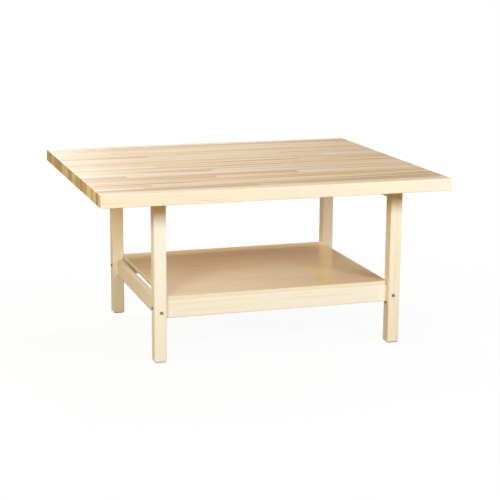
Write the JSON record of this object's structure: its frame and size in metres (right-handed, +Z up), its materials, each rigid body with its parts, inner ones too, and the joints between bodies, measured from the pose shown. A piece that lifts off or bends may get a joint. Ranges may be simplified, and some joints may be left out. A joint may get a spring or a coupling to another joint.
{
  "type": "assembly table",
  "caption": "Workshop assembly table: thick laminated hardwood top overhanging a bolted wooden base with square legs, low rails, end stretchers and a plywood shelf.",
  "frame": {"origin": "on the floor, under the middle of the top", "axes": "+X along the top's length, to the right seen from the front; the front faces -Y; +Z up"},
  "size_m": [1.6256, 1.3716, 0.8255],
  "materials": {
    "top_maple": "clear satin varnish",
    "leg_maple": "clear satin varnish",
    "rail_maple": "clear satin varnish",
    "shelf_plywood": "semi-gloss lacquer",
    "bolt_steel": "dark zinc",
    "zinc_steel": "bright zinc"
  },
  "bodies": {
    "root": {"top_strip_01": "top_maple", "top_strip_02": "top_maple", "top_strip_03": "top_maple", "top_strip_04": "top_maple", "top_strip_05": "top_maple", "top_strip_06": "top_maple", "top_strip_07": "top_maple", "top_strip_08": "top_maple", "top_strip_09": "top_maple", "top_strip_10": "top_maple", "top_strip_11": "top_maple", "top_strip_12": "top_maple", "top_strip_13": "top_maple", "top_strip_14": "top_maple", "top_strip_15": "top_maple", "top_strip_16": "top_maple", "top_strip_17": "top_maple", "top_strip_18": "top_maple", "top_strip_19": "top_maple", "top_strip_20": "top_maple", "top_strip_21": "top_maple", "top_strip_22": "top_maple", "top_strip_23": "top_maple", "top_strip_24": "top_maple", "top_strip_25": "top_maple", "top_strip_26": "top_maple", "top_strip_27": "top_maple", "leg_front_left": "leg_maple", "leg_front_right": "leg_maple", "leg_back_left": "leg_maple", "leg_back_right": "leg_maple", "long_rail_front": "rail_maple", "long_rail_back": "rail_maple", "end_stretcher_left": "rail_maple", "end_stretcher_right": "rail_maple", "upper_rail_left": "rail_maple", "upper_rail_right": "rail_maple", "lower_shelf": "shelf_plywood", "rail_bolt_front_left": "bolt_steel", "stretcher_bolt_front_left": "bolt_steel", "rail_bolt_front_right": "bolt_steel", "stretcher_bolt_front_right": "bolt_steel", "rail_bolt_back_left": "bolt_steel", "stretcher_bolt_back_left": "bolt_steel", "rail_bolt_back_right": "bolt_steel", "stretcher_bolt_back_right": "bolt_steel", "rail_nut_front_left": "zinc_steel", "stretcher_nut_front_left": "zinc_steel", "rail_nut_front_right": "zinc_steel", "stretcher_nut_front_right": "zinc_steel", "rail_nut_back_left": "zinc_steel", "stretcher_nut_back_left": "zinc_steel", "rail_nut_back_right": "zinc_steel", "stretcher_nut_back_right": "zinc_steel", "top_screw_left_front": "zinc_steel", "top_screw_left_middle": "zinc_steel", "top_screw_left_back": "zinc_steel", "top_screw_right_front": "zinc_steel", "top_screw_right_middle": "zinc_steel", "top_screw_right_back": "zinc_steel"}
  },
  "joints": []
}
